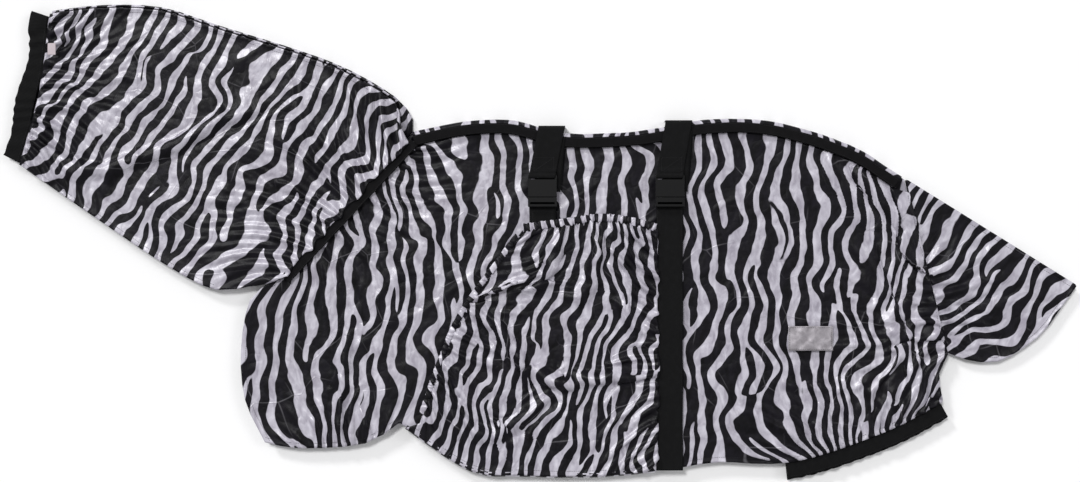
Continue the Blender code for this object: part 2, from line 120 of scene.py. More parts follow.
for light_name, toward, spread, strength in (
    ("overhead", (-0.30, 0.45, 1.0), 12, 1.45),
    ("crest_side", (-0.9, 1.1, 0.75), 9, 1.15),
    ("tail_side", (1.0, 0.3, 0.9), 20, 0.30),
):
    light_data = bpy.data.lights.new(light_name, "SUN")
    light_data.angle = math.radians(spread)
    light_data.energy = strength
    light = bpy.data.objects.new(light_name, light_data)
    light.rotation_euler = Vector(toward).to_track_quat("Z", "Y").to_euler()
    bpy.context.collection.objects.link(light)

world = bpy.data.worlds.new("studio")
world.use_nodes = True
world.node_tree.nodes["Background"].inputs["Color"].default_value = linear("F4F4F6")
world.node_tree.nodes["Background"].inputs["Strength"].default_value = 0.42
bpy.context.scene.world = world

floor_paint, _, floor_shader = new_material("floor_matt_paint")
floor_shader.inputs["Base Color"].default_value = linear("FFFFFF")
floor_shader.inputs["Roughness"].default_value = 0.9
bpy.ops.mesh.primitive_plane_add(size=14, location=(0, 0, -0.0005))
floor = bpy.context.object
floor.name = "floor"
floor.data.materials.append(floor_paint)


# The cloth: a light satin-faced woven polyester, printed with zebra stripes in near black on
# lavender grey. The stripes are printed before sewing, so each panel carries them its own way.
# The face has a soft silky sheen, and it keeps small sharp creases from being packed flat.

STRIPE_PITCH = 0.0305
STRIPE_STRETCH = 0.55
STRIPE_BEND = (0.115, 0.075)
KERNEL_PITCHES = 2.3
THREAD_PITCH = 0.0012
CREASE_SPACING = 0.085


def maths(tree, operation, first, second=0.0):
    """One step of arithmetic on node outputs and plain numbers."""
    return add_node(tree, "ShaderNodeMath", {0: first, 1: second}, operation=operation).outputs[0]


def vectors(tree, operation, first, second):
    """The same for vectors."""
    return add_node(tree, "ShaderNodeVectorMath", {0: first, 1: second}, operation=operation).outputs[0]


def noise(tree, place, scale, detail, distortion=0.0):
    """Noise over a place, with outputs Fac and Color. Scale is in features a metre."""
    inputs = {"Vector": place, "Scale": scale, "Detail": detail, "Distortion": distortion}
    return add_node(tree, "ShaderNodeTexNoise", inputs).outputs


def ranged(tree, value, low, high, to_low=0.0, to_high=1.0, **settings):
    """A value's range from low to high, stretched to another range and held inside it."""
    inputs = {"Value": value, "From Min": low, "From Max": high, "To Min": to_low, "To Max": to_high}
    return add_node(tree, "ShaderNodeMapRange", inputs, **settings).outputs[0]


def mixed(tree, factor, first, second):
    """The first colour where the factor is 0, and the second where it is 1."""
    inputs = {"Factor": factor, 6: first, 7: second}
    return add_node(tree, "ShaderNodeMix", inputs, data_type="RGBA").outputs[2]


def bumped(tree, height, strength, distance, over=None):
    """The normal of a relief, laid over another normal if one is given. Distance is in metres."""
    inputs = {"Height": height, "Strength": strength, "Distance": distance}
    if over is not None:
        inputs["Normal"] = over
    return add_node(tree, "ShaderNodeBump", inputs).outputs[0]


def zebra_cloth():
    """Striped print on satin-faced polyester. It reads the cloth's own flat coordinates, in metres."""
    material, tree, shader = new_material("satin_polyester_zebra_print")
    flat = add_node(tree, "ShaderNodeUVMap", uv_map="cloth").outputs["UV"]

    # The print: bands that wander, swell, thin out and fork, with a crisp printed edge.
    bend = vectors(tree, "SUBTRACT", noise(tree, flat, 7.5, 1.6)["Color"], (0.5, 0.5, 0.5))
    bent = vectors(tree, "ADD", flat, vectors(tree, "MULTIPLY", bend, (*STRIPE_BEND, 0)))
    stripes = add_node(
        tree,
        "ShaderNodeTexGabor",
        {
            "Vector": vectors(tree, "MULTIPLY", bent, (1, STRIPE_STRETCH, 1)),
            "Scale": 1 / (STRIPE_PITCH * KERNEL_PITCHES),
            "Frequency": KERNEL_PITCHES,
            "Anisotropy": 0.915,
            "Orientation 2D": 0.0,
        },
        gabor_type="2D",
    )
    wave = maths(tree, "SINE", maths(tree, "MULTIPLY", stripes.outputs["Phase"], 2 * math.pi))
    swell = ranged(tree, noise(tree, flat, 22, 2.0)["Fac"], 0.0, 1.0, -1.05, 1.40)
    ink = ranged(tree, maths(tree, "ADD", wave, swell), -0.09, 0.09)

    # The creases of packing: a few thin straight ridges, with a painted highlight along their tops.
    packed = vectors(tree, "MULTIPLY", noise(tree, flat, 7, 1.0)["Color"], (0.05, 0.05, 0))
    packed = vectors(tree, "ADD", packed, flat)
    folds = add_node(
        tree,
        "ShaderNodeTexVoronoi",
        {"Vector": packed, "Scale": 1 / CREASE_SPACING},
        feature="DISTANCE_TO_EDGE",
        voronoi_dimensions="2D",
    )
    ridge = ranged(
        tree, folds.outputs["Distance"], 0.0, 0.022, 1.0, 0.0, interpolation_type="SMOOTHSTEP"
    )
    some = ranged(tree, noise(tree, flat, 11, 1.0)["Fac"], 0.50, 0.66)
    ridge = maths(tree, "MULTIPLY", ridge, some)

    # The colour: a painted sheen, soft lighter streaks where satin threads would catch the light, on the
    # ground more than on the ink.
    sheen_streak_place = vectors(tree, "MULTIPLY", packed, (1, 0.45, 1))
    # Painted sheen: this noise lightens the ground and the ink in streaks along the grain.
    painted_sheen = ranged(tree, noise(tree, sheen_streak_place, 75, 3.0, 0.6)["Fac"], 0.32, 0.70)
    ground = mixed(tree, painted_sheen, linear("9D98A5"), linear("CFCCD7"))
    print_ink = mixed(tree, painted_sheen, linear("08070A"), linear("17151C"))
    colour = mixed(tree, ink, ground, print_ink)
    # Painted highlight: the crease ridges are lightened a little toward pale lavender.
    colour = mixed(tree, maths(tree, "MULTIPLY", ridge, 0.10), colour, linear("E4E0EA"))
    tree.links.new(colour, shader.inputs["Base Color"])
    tree.links.new(ranged(tree, ink, 0.0, 1.0, 0.34, 0.42), shader.inputs["Roughness"])
    tree.links.new(ranged(tree, ink, 0.0, 1.0, 0.85, 0.17), shader.inputs["Specular IOR Level"])

    # The relief: those creases, an all-over crinkle in two sizes, and the twill of the weave.
    relief = bumped(tree, ridge, 0.5, 0.0010)
    for place, scale, detail, strength, distance in (
        (flat, 17, 2.6, 0.6, 0.012),
        (packed, 52, 2.0, 0.5, 0.0015),
    ):
        crinkle = maths(tree, "SUBTRACT", noise(tree, place, scale, detail)["Fac"], 0.5)
        relief = bumped(tree, maths(tree, "ABSOLUTE", crinkle), strength, distance, relief)
    thread = add_node(
        tree,
        "ShaderNodeTexWave",
        {"Vector": flat, "Scale": 1 / THREAD_PITCH / 6.28, "Distortion": 0.6},
        bands_direction="DIAGONAL",
    )
    relief = bumped(tree, thread.outputs["Fac"], 0.12, 0.0003, relief)
    tree.links.new(relief, shader.inputs["Normal"])
    return material


ZEBRA = zebra_cloth()


def outline_of(node):
    """The corner points, in order, of a CAD node's flat top."""
    mesh = cad[node].data
    points = np.array([v.co for v in mesh.vertices])
    top = points[:, 2].max() - 0.0001
    keys = {}
    for point in points:
        if point[2] > top:
            keys.setdefault(tuple(np.round(point[:2], 5)), len(keys))
    sides = {}
    for face in mesh.polygons:
        corners = [points[v] for v in face.vertices]
        if face.normal.z < 0.9 or min(c[2] for c in corners) < top:
            continue
        loop = [keys[tuple(np.round(c[:2], 5))] for c in corners]
        for a, b in zip(loop, loop[1:] + loop[:1]):
            sides[a, b] = True
    ahead = {a: b for a, b in sides if (b, a) not in sides}
    places = np.array(list(keys))
    walk = [next(iter(ahead))]
    while ahead[walk[-1]] != walk[0]:
        walk.append(ahead[walk[-1]])
    return places[walk]


def middle_line(node):
    """The line down the middle of a CAD node that is a long ribbon with square ends, from left to right."""
    loop = outline_of(node)
    before, after = loop - np.roll(loop, 1, axis=0), np.roll(loop, -1, axis=0) - loop
    before /= np.linalg.norm(before, axis=1)[:, None]
    after /= np.linalg.norm(after, axis=1)[:, None]
    corners = np.sort(np.argsort(np.sum(before * after, axis=1))[:4])
    twice = np.vstack([loop, loop])
    sides = [twice[a : b + 1] for a, b in zip(corners, [*corners[1:], corners[0] + len(loop)])]
    lengths = [length_of(side) for side in sides]
    first = 0 if lengths[0] + lengths[2] > lengths[1] + lengths[3] else 1
    steps = np.linspace(0, 1, 60)
    both = []
    for side in (sides[first], sides[first + 2][::-1]):
        run = np.r_[0, np.cumsum(np.linalg.norm(np.diff(side, axis=0), axis=1))]
        both.append(np.column_stack([np.interp(steps, run / run[-1], side[:, k]) for k in range(2)]))
    line = (both[0] + both[1]) / 2
    return line if line[0, 0] < line[-1, 0] else line[::-1]


def length_of(line):
    """The length of a line of points."""
    return float(np.linalg.norm(np.diff(line, axis=0), axis=1).sum())


def along_line(points, line):
    """For each point: its distance from a line, the length along the line, and the way and side there."""
    starts, ways = line[:-1], np.diff(line, axis=0)
    lengths = np.linalg.norm(ways, axis=1)
    run = np.r_[0, np.cumsum(lengths)]
    best = np.full(len(points), np.inf)
    place, way, side = np.zeros(len(points)), np.zeros((len(points), 2)), np.zeros(len(points))
    for start, step, length, before in zip(starts, ways, lengths, run):
        rest = points - start
        share = np.clip(rest @ step / length**2, 0, 1)
        away = rest - share[:, None] * step
        distance = np.linalg.norm(away, axis=1)
        near = distance < best
        best[near] = distance[near]
        place[near] = before + share[near] * length
        way[near] = step / length
        side[near] = np.sign(step[0] * away[near, 1] - step[1] * away[near, 0])
    return best, place, way, side


def soft_noise(x, y, seed):
    """Smooth noise from -1 to 1, with a new value at each whole number of x and y."""
    cells = 64
    table = np.random.default_rng(seed).uniform(-1, 1, (cells, cells))
    x0, y0 = np.floor(x).astype(int), np.floor(y).astype(int)
    fx, fy = x - x0, y - y0
    fx, fy = fx * fx * (3 - 2 * fx), fy * fy * (3 - 2 * fy)
    low, high = (
        table[x0 % cells, (y0 + j) % cells] * (1 - fx) + table[(x0 + 1) % cells, (y0 + j) % cells] * fx
        for j in (0, 1)
    )
    return low * (1 - fy) + high * fy


def cut_cloth(outline, cell):
    """A grid of cloth cut to an outline: its flat points, square faces, edge points and grid places."""
    low = outline.min(axis=0) - cell
    count = np.ceil((np.ptp(outline, axis=0) + 2 * cell) / cell).astype(int)
    gx, gy = np.meshgrid(np.arange(count[0] + 1), np.arange(count[1] + 1), indexing="ij")
    grid = np.column_stack([gx.ravel(), gy.ravel()])
    points = low + cell * grid
    i, j = np.meshgrid(np.arange(count[0]), np.arange(count[1]), indexing="ij")
    first = (i * (count[1] + 1) + j).ravel()
    squares = np.column_stack([first, first + count[1] + 1, first + count[1] + 2, first + 1])
    centres = points[squares].mean(axis=1)
    inside = np.zeros(len(centres), bool)
    for (ax, ay), (bx, by) in zip(outline, np.roll(outline, -1, axis=0)):
        crosses = (ay > centres[:, 1]) != (by > centres[:, 1])
        level = ax + (centres[:, 1] - ay) / (by - ay + 1e-12) * (bx - ax)
        inside ^= crosses & (centres[:, 0] < level)
    squares = squares[inside]
    used, flat_index = np.unique(squares, return_inverse=True)
    points, grid, squares = points[used], grid[used], flat_index.reshape(-1, 4)
    edge = np.bincount(squares.ravel(), minlength=len(points)) < 4
    closed = np.vstack([outline, outline[:1]])
    points[edge] = nearest_place(points[edge], closed)
    sides = np.vstack([squares[:, [k, (k + 1) % 4]] for k in range(4)])
    free = ~edge & (along_line(points, closed)[0] < 4 * cell)
    for _ in range(12):
        total = np.zeros_like(points)
        np.add.at(total, sides[:, 0], points[sides[:, 1]])
        np.add.at(total, sides[:, 1], points[sides[:, 0]])
        ties = np.bincount(sides.ravel(), minlength=len(points))
        points[free] = (total / ties[:, None])[free]
    return points, squares, edge, grid


def nearest_place(points, line):
    """The nearest place on a line to each point."""
    best, found = np.full(len(points), np.inf), points.copy()
    for start, end in zip(line[:-1], line[1:]):
        step = end - start
        share = np.clip((points - start) @ step / max(step @ step, 1e-12), 0, 1)
        place = start + share[:, None] * step
        distance = np.linalg.norm(points - place, axis=1)
        near = distance < best
        best[near], found[near] = distance[near], place[near]
    return found


def gathers(points, line, fullness, reach, pitch, seed):
    """How an elastic along a line draws cloth in: the first ripple of the puckers, and the cut's spread."""
    distance, place, way, _ = along_line(points, line)
    fade = np.exp(-((distance / reach) ** 1.5))
    wander = soft_noise(place / (3 * pitch), distance / (0.8 * reach), seed)
    phase = place / pitch + 0.8 * wander + 0.5 * soft_noise(place / (7 * pitch), distance * 0, seed + 1)
    ripple = 0.10 * pitch * np.sin(2 * np.pi * phase) * np.exp(-((distance / reach) ** 2))
    slow = 0.12 * pitch * np.sin(2 * np.pi * 0.43 * phase + 1)
    ripple = ripple + slow * np.exp(-((distance / (1.8 * reach)) ** 2))
    middle = place - place.max() / 2
    uneven = 0.35 * pitch * 3 * soft_noise(place / (2.5 * pitch), distance / reach, seed + 2)
    return ripple, fullness * (fade * (middle + uneven))[:, None] * way


def tuck(points, line, spare, width, slip=0.0):
    """Spare cloth across a line, which folds up along it. Slip is how far the two sides have slid apart."""
    distance, place, way, side = along_line(points, line)
    ends = np.clip(np.minimum(place, place.max() - place) / (0.15 * place.max()), 0, 1)
    share = np.clip(side * distance / width, -1, 1)
    across = np.column_stack([-way[:, 1], way[:, 0]])
    far = np.exp(-((distance / (6 * width)) ** 2))
    lift = 0.3 * spare * np.exp(-((distance / width) ** 2)) * ends
    moved = (share * ends * far)[:, None]
    return lift, 0.5 * spare * moved * across + 0.5 * slip * moved * way


def loose_wrinkles(points, size, height, seed):
    """The wrinkles of thin cloth that was packed folded: narrow rounded ridges and broad hollows."""
    x, y = points.T / size
    bend = 0.6 * soft_noise(x * 0.7, y * 0.7, seed + 5)
    ridges = (1 - np.abs(soft_noise(x + bend, y * 0.45 + bend, seed))) ** 3
    slanted = (0.8 * x + 0.6 * y) * 0.5 - bend, (0.8 * y - 0.6 * x) * 1.2
    cross = (1 - np.abs(soft_noise(*slanted, seed + 1))) ** 3
    broad = soft_noise(x * 0.4, y * 0.4, seed + 2)
    return height * (0.8 * ridges + 0.7 * cross + 0.9 * broad - 0.55)


def settle(places, cut, grid, edge, low, high, rounds, bending=0.10):
    """Buckles the cloth: threads keep their length, sewn edges hold, and it stays between two levels."""
    size = grid.max(axis=0) + 1
    at = grid[:, 0], grid[:, 1]
    cloth = np.zeros((*size, 3), np.float32)
    pattern = np.zeros((*size, 2), np.float32)
    free = np.zeros(size, np.float32)
    here = np.zeros(size, bool)
    floor_level, roof_level = np.zeros(size, np.float32), np.ones(size, np.float32)
    cloth[at], pattern[at], free[at], here[at] = places, cut, ~edge, True
    floor_level[at], roof_level[at] = low, high
    ties = []
    for a, b, stiff in (
        (1, 0, 0.9),
        (0, 1, 0.9),
        (1, 1, 0.5),
        (1, -1, 0.5),
        (2, 0, bending),
        (0, 2, bending),
    ):
        reach = max(a, abs(b))
        for start in range(2 * reach):
            if a:
                one, two = [slice(start, None, 2 * reach)], [slice(start + reach, None, 2 * reach)]
                cols = (slice(None), slice(None)) if b == 0 else (slice(None, -1), slice(1, None))
                cols = cols if b >= 0 else cols[::-1]
                one.append(cols[0])
                two.append(cols[1])
            else:
                one = [slice(None), slice(start, None, 2 * reach)]
                two = [slice(None), slice(start + reach, None, 2 * reach)]
            one, two = tuple(one), tuple(two)
            n = np.minimum(here[one].shape, here[two].shape)
            cut_to = (slice(0, n[0]), slice(0, n[1]))
            both = here[one][cut_to] & here[two][cut_to]
            length = np.linalg.norm(pattern[one][cut_to] - pattern[two][cut_to], axis=2) * 1.01
            wa, wb = free[one][cut_to], free[two][cut_to]
            total = np.maximum(wa + wb, 1e-6)
            ties.append((one, two, cut_to, length, stiff * both * wa / total, stiff * both * wb / total))
    for _ in range(rounds):
        for one, two, cut_to, length, wa, wb in ties:
            first, second = cloth[one][cut_to], cloth[two][cut_to]
            gap = second - first
            far = np.sqrt(np.einsum("ijk,ijk->ij", gap, gap)) + 1e-9
            pull = (1 - length / far)[..., None] * gap
            first += wa[..., None] * pull
            second -= wb[..., None] * pull
        cloth[..., 2] -= 0.00002 * free
        np.clip(cloth[..., 2], floor_level, roof_level, out=cloth[..., 2])
    ahead, behind = slice(1, None), slice(None, -1)
    for _ in range(2):
        total, ties_here = np.zeros_like(cloth), np.zeros(size, np.float32)
        for one, two in (((ahead,), (behind,)), ((slice(None), ahead), (slice(None), behind))):
            total[one] += cloth[two] * here[two][..., None]
            total[two] += cloth[one] * here[one][..., None]
            ties_here[one] += here[two]
            ties_here[two] += here[one]
        soft = total / np.maximum(ties_here, 1)[..., None]
        cloth += 0.35 * free[..., None] * (soft - cloth)
    return cloth[at]


CLOTH_THICKNESS = 0.0011


def make_cloth(name, places, squares, cut, grain, thick=CLOTH_THICKNESS, material=None):
    """A finished sheet of cloth. The print lies on the cut cloth, turned by the grain angle."""
    mesh = bpy.data.meshes.new(name)
    mesh.from_pydata(places, [], squares)
    mesh.update()
    lay_print(mesh, turned(cut, grain), name)
    mesh.materials.append(material or ZEBRA)
    return thickened(name, mesh, thick)


def turned(points, degrees):
    """Flat points turned about the origin."""
    turn = math.radians(degrees)
    spin = np.array([[math.cos(turn), -math.sin(turn)], [math.sin(turn), math.cos(turn)]])
    return points @ spin.T


def lay_print(mesh, printed, roll):
    """Gives a mesh its flat cloth coordinates, on its own stretch of a roll."""
    corners = np.empty(len(mesh.loops), int)
    mesh.loops.foreach_get("vertex_index", corners)
    layer = mesh.uv_layers.new(name="cloth")
    placed = (printed + (hash_place(roll), 0))[corners]
    layer.data.foreach_set("uv", placed.ravel().astype(np.float32))
    mesh.shade_smooth()


def thickened(name, mesh, thick):
    """A piece made of a mesh, with a wall of the given thickness if there is one."""
    piece = bpy.data.objects.new(name, mesh)
    bpy.context.collection.objects.link(piece)
    if thick:
        wall = piece.modifiers.new("wall", "SOLIDIFY")
        wall.thickness = thick
        wall.offset = 0
        as_plain_mesh(piece)
    return piece


def hash_place(name):
    """Moves each panel to its own stretch of the printed roll."""
    return sum(ord(letter) * (k + 3) for k, letter in enumerate(name)) % 97 * 0.37


def as_plain_mesh(piece):
    """Applies a piece's modifiers, so that its mesh is final."""
    graph = bpy.context.evaluated_depsgraph_get()
    mesh = bpy.data.meshes.new_from_object(piece.evaluated_get(graph))
    piece.modifiers.clear()
    piece.data = mesh
    return piece


def area_of(outline):
    """The area inside an outline."""
    x, y = outline.T
    return 0.5 * abs(np.dot(x, np.roll(y, 1)) - np.dot(y, np.roll(x, 1)))


def finish_cloth(node):
    """Hides the CAD panel that a piece of cloth takes the place of."""
    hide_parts(node)


def drawn_in(flat, outline, lift, gathered, seed, seed_step, tucked=(), width=0.009, hem=(0.012, 0.15)):
    """The lift and the cut of a panel with gathers and tucks. It lies flatter near its hem."""
    cut = flat.copy()
    for line, fullness, reach, pitch in gathered:
        seed += seed_step
        ripple, spread = gathers(flat, line, fullness, reach, pitch, seed)
        lift, cut = lift + ripple, cut + spread
    for line, spare, slip in tucked:
        ripple, spread = tuck(flat, np.array(line), spare, width, slip)
        lift, cut = lift + ripple, cut + spread
    to_edge = along_line(flat, np.vstack([outline, outline[:1]]))[0]
    return lift * np.clip(to_edge / hem[0], hem[1], 1), cut


# The body: a near side on top and a far side underneath, each one wide panel. Both are gathered
# at the neck seam, along the front hem and along the rear hem, where elastic draws them in.

rounds = 150
neck_line = middle_line("near_neckline_binding")
front_hem_line = middle_line("front_hem_elastic_near")
rear_hem_line = middle_line("rear_hem_elastic_near")
tail_fold = joints["tail_flap_fold"]
tail_top = np.array(tail_fold["pos_m"][:2])
tail_way = np.array(tail_fold["axis"][:2])
tail_line = tail_top + np.outer([0.337, 0.15], tail_way)
rear_line = np.array([[0.757, -0.165], [0.753, -0.240], [0.757, -0.318]])
flap_outline = outline_of("belly_flap")
shoulder_fold = np.array([[-0.372, -0.175], [-0.366, -0.26], [-0.384, -0.35]])
dart_line = np.array([[0.530, 0.185], [0.575, 0.10], [0.640, 0.02], [0.680, -0.09], [0.715, -0.17]])
rump_line = np.array([[0.585, 0.165], [0.640, 0.09], [0.690, 0.03]])
root_line = np.array([[0.665, 0.105], [0.700, 0.02], [0.728, -0.07]])
haunch_line = np.array([[0.590, 0.01], [0.640, -0.09], [0.690, -0.20], [0.700, -0.27]])
body_gathers = (
    (neck_line, 0.34, 0.060, 0.019),
    (front_hem_line, 0.55, 0.055, 0.019),
    (rear_hem_line, 0.55, 0.080, 0.021),
    (tail_line, 0.60, 0.085, 0.021),
    (rear_line, 0.62, 0.100, 0.020),
)
body_tucks = (
    (shoulder_fold, 0.018, 0.020),
    (dart_line, 0.028, 0.034),
    (rump_line, 0.022, 0.034),
    (root_line, 0.020, -0.034),
    (haunch_line, 0.022, 0.034),
)
for side, cell, level, low, high, grain, seed in (
    ("near", 0.0041, 0.0215, 0.0172, 0.0279, 2, 11),
    ("far", 0.0050, 0.0042, 0.0008, 0.0076, -5, 111),
):
    outline = outline_of(f"{side}_side_panel")
    flat, squares, edge, grid = cut_cloth(outline, cell)
    lift = loose_wrinkles(flat, 0.075, 0.18 * (high - low), seed)
    lift, cut = drawn_in(flat, outline, lift, body_gathers, seed, 10, body_tucks, 0.008)
    heights = np.clip(level + lift, low, high)
    places = settle(np.column_stack([flat, heights]), cut, grid, edge, low, high, rounds)
    piece = make_cloth(f"{side}_side_cloth", places, squares, cut, grain)
    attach(piece, "sheet")
    rests = ["far_side_cloth"] if side == "near" else ["floor"]
    finish_cloth(f"{side}_side_panel")


# The neck cover: a near and a far side that widen from the poll to the withers. Both are drawn in by
# elastic at the poll and gathered into the neck seam, and the near side lies in one long soft fold.

poll_line = middle_line("poll_elastic_near")
neck_fold = joints["neck_cover_fold"]
seam_top = np.array(neck_fold["pos_m"][:2])
seam_way = -np.array(neck_fold["axis"][:2])
seam_out = np.array([seam_way[1], -seam_way[0]])
SEAM_LENGTH = 0.379
seam_line = seam_top + np.outer([0, SEAM_LENGTH], seam_way)
neck_gathers = ((poll_line, 0.85, 0.085, 0.021), (seam_line, 0.58, 0.090, 0.025))
long_fold = [[-0.975, 0.140], [-0.823, 0.134], [-0.693, 0.180], [-0.595, 0.230], [-0.514, 0.249]]
for side, level, low, high, grain, seed in (
    ("near", 0.0215, 0.0172, 0.0380, 28, 61),
    ("far", 0.0042, 0.0008, 0.0076, 31, 71),
):
    outline = outline_of(f"neck_{side}_panel")
    flat, squares, edge, grid = cut_cloth(outline, 0.0038)
    lift = loose_wrinkles(flat, 0.07, 0.14 * (high - low), seed)
    lift, cut = drawn_in(flat, outline, lift, neck_gathers, seed, 1, [(long_fold, 0.024, -0.022)])
    heights = np.clip(level + lift, low, high)
    placed = flat.copy()
    if side == "near":
        away, along, _, _ = along_line(flat, seam_line)
        ruffle = 0.5 + 0.5 * soft_noise(along / 0.016, away / 0.02, 66)
        inside = np.clip(np.minimum(along, SEAM_LENGTH - along) / 0.02, 0, 1)
        hem = np.exp(-((away / 0.010) ** 2)) * inside
        overhang = hem * (0.004 + 0.009 * ruffle + 0.006 * along / SEAM_LENGTH)
        placed = flat - overhang[:, None] * seam_out
        heights = heights + hem * (0.0312 + 0.003 * ruffle - heights)
        over_tape = np.exp(-((along_line(placed, neck_line)[0] / 0.016) ** 6))
        low = low + (0.0306 - low) * over_tape
        heights = np.maximum(heights, low)
    places = settle(np.column_stack([placed, heights]), cut, grid, edge, low, high, rounds)
    piece = make_cloth(f"neck_{side}_cloth", places, squares, cut, grain)
    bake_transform(piece)
    rests = ["neck_far_cloth"] if side == "near" else ["floor"]
    finish_cloth(f"neck_{side}_panel")


# The belly flap: a panel that comes up over the near side from its fold under the belly. Elastic
# gathers its top and its sloping front, and its rear edge is sewn to the long band in small ruffles.

flap_top_line = middle_line("flap_top_elastic")
flap_front_line = middle_line("flap_front_elastic")
band_outline = outline_of("rear_girth_band")
band_left, band_low = band_outline.min(axis=0)
band_top = band_outline[:, 1].max()
band_line = np.array([[band_left, flap_top_line[-1, 1]], [band_left, band_low]])
flap_gathers = (
    (flap_top_line, 0.48, 0.080, 0.019),
    (flap_front_line, 0.48, 0.070, 0.019),
    (band_line, 0.42, 0.050, 0.018),
)
hanging_fold = [
    [-0.095, -0.130],
    [-0.066, -0.183],
    [-0.021, -0.239],
    [0.036, -0.267],
    [0.100, -0.258],
    [0.205, -0.239],
]
flap_tucks = (
    (hanging_fold, 0.027, 0.026),
    ([[0.115, 0.015], [0.096, -0.073], [0.071, -0.125]], 0.026, 0.022),
    ([[-0.150, -0.108], [-0.090, -0.092], [-0.020, -0.068]], 0.026, -0.028),
    ([[-0.170, -0.356], [-0.083, -0.360], [-0.038, -0.339], [0.019, -0.279]], 0.026, 0.026),
    ([[0.030, 0.020], [0.018, -0.050], [-0.020, -0.110]], 0.026, 0.022),
    ([[0.170, -0.040], [0.160, -0.120], [0.185, -0.190]], 0.020, 0.016),
)
flat, squares, edge, grid = cut_cloth(flap_outline, 0.0034)
lift = loose_wrinkles(flat, 0.05, 0.004, 13)
lift, cut = drawn_in(flat, flap_outline, lift, flap_gathers, 13, 10, flap_tucks, hem=(0.010, 0.2))
low, high = 0.0286, 0.0450
heights = np.clip(0.0310 + lift, low, high)
between = (flat[:, 1] < 0.03) * (flat[:, 1] > band_low + 0.02)
by_band = np.exp(-(((flat[:, 0] - band_left) / 0.010) ** 2)) * between
ruffle = 0.5 + 0.5 * soft_noise(flat[:, 1] / 0.009, flat[:, 0] / 0.02, 46)
placed = flat + np.column_stack([by_band * (0.001 + 0.006 * ruffle), 0 * by_band])
heights = heights + by_band * (0.0318 + 0.0030 * ruffle - heights)
places = settle(np.column_stack([placed, heights]), cut, grid, edge, low, high, rounds)
FLAP_PRINT, FLAP_GRAIN = 1.18, 12
flap = make_cloth("belly_flap_cloth", places, squares, FLAP_PRINT * cut, FLAP_GRAIN)
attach(flap, "sheet")
finish_cloth("belly_flap")


# The tail flap: one piece of the same cloth folded along its middle, gathered where its root is sewn
# to the rump. It swings about that seam.

for side, level, low, high, grain, seed in (
    ("near", 0.0150, 0.0090, 0.0200, 40, 81),
    ("far", 0.0040, 0.0008, 0.0076, 43, 91),
):
    outline = outline_of(f"tail_flap_{side}_half")
    flat, squares, edge, grid = cut_cloth(outline, 0.0040)
    lift = loose_wrinkles(flat, 0.08, 0.22 * (high - low), seed)
    lift, cut = drawn_in(flat, outline, lift, [(tail_line, 0.30, 0.06, 0.022)], seed, 0)
    heights = np.clip(level + lift, low, high)
    places = settle(np.column_stack([flat, heights]), cut, grid, edge, low, high, rounds)
    piece = make_cloth(f"tail_flap_{side}_cloth", places, squares, cut, grain)
    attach(piece, "tail_flap")
    rests = ["tail_flap_far_cloth"] if side == "near" else ["floor"]
    finish_cloth(f"tail_flap_{side}_half")


# The long edges: the far side's cloth turns up over the spine and under the black band, the belly
# cloth turns up into the flap, and the crest is one rolled seam. The band and the tape along the neck
# seam are woven polyester tape, about a millimetre thick, sewn down along both of their edges.


def woven_black(name, pitch, slant, hex_colour, roughness, relief):
    """Black woven narrow goods. Slant turns the ribs into the chevrons of a herringbone weave."""
    material, tree, shader = new_material(name)
    flat = add_node(tree, "ShaderNodeUVMap", uv_map="cloth").outputs["UV"]
    axes = add_node(tree, "ShaderNodeSeparateXYZ", {0: flat}).outputs
    zigzag = maths(tree, "MULTIPLY", maths(tree, "PINGPONG", axes["Y"], 3.4 * pitch), slant)
    run = maths(tree, "ADD", axes["X"], zigzag)
    rib = maths(tree, "SINE", maths(tree, "MULTIPLY", run, 2 * math.pi / pitch))
    cord = maths(tree, "SINE", maths(tree, "MULTIPLY", axes["Y"], 2 * math.pi / (0.55 * pitch)))
    weave = bumped(tree, maths(tree, "ADD", rib, cord), 0.5, relief)
    tree.links.new(weave, shader.inputs["Normal"])
    dust = ranged(tree, noise(tree, flat, 90, 4.0)["Fac"], 0.45, 0.85)
    lint = [1.7 * v for v in linear(hex_colour)[:3]] + [1]
    colour = mixed(tree, dust, linear(hex_colour), lint)
    tree.links.new(colour, shader.inputs["Base Color"])
    shader.inputs["Roughness"].default_value = roughness
    shader.inputs["Specular IOR Level"].default_value = 0.14
    return material


# Fine herringbone tape: dull and close, so it reads as a flat black line with a dry edge.
TAPE = woven_black("woven_polyester_tape_black", 0.0016, 0.8, "0B0A0C", 0.75, 0.00015)


def resampled(line, step):
    """The same line with points an even step apart."""
    run = np.r_[0, np.cumsum(np.linalg.norm(np.diff(line, axis=0), axis=1))]
    count = max(int(round(run[-1] / step)), 2)
    at = np.linspace(0, run[-1], count + 1)
    return np.column_stack([np.interp(at, run, line[:, k]) for k in range(line.shape[1])]), at


def way_and_left(line):
    """The unit way of a line at each of its points, and the unit way to its left."""
    way = np.gradient(line, axis=0)
    way /= np.linalg.norm(way, axis=1)[:, None]
    return way, np.column_stack([-way[:, 1], way[:, 0]])


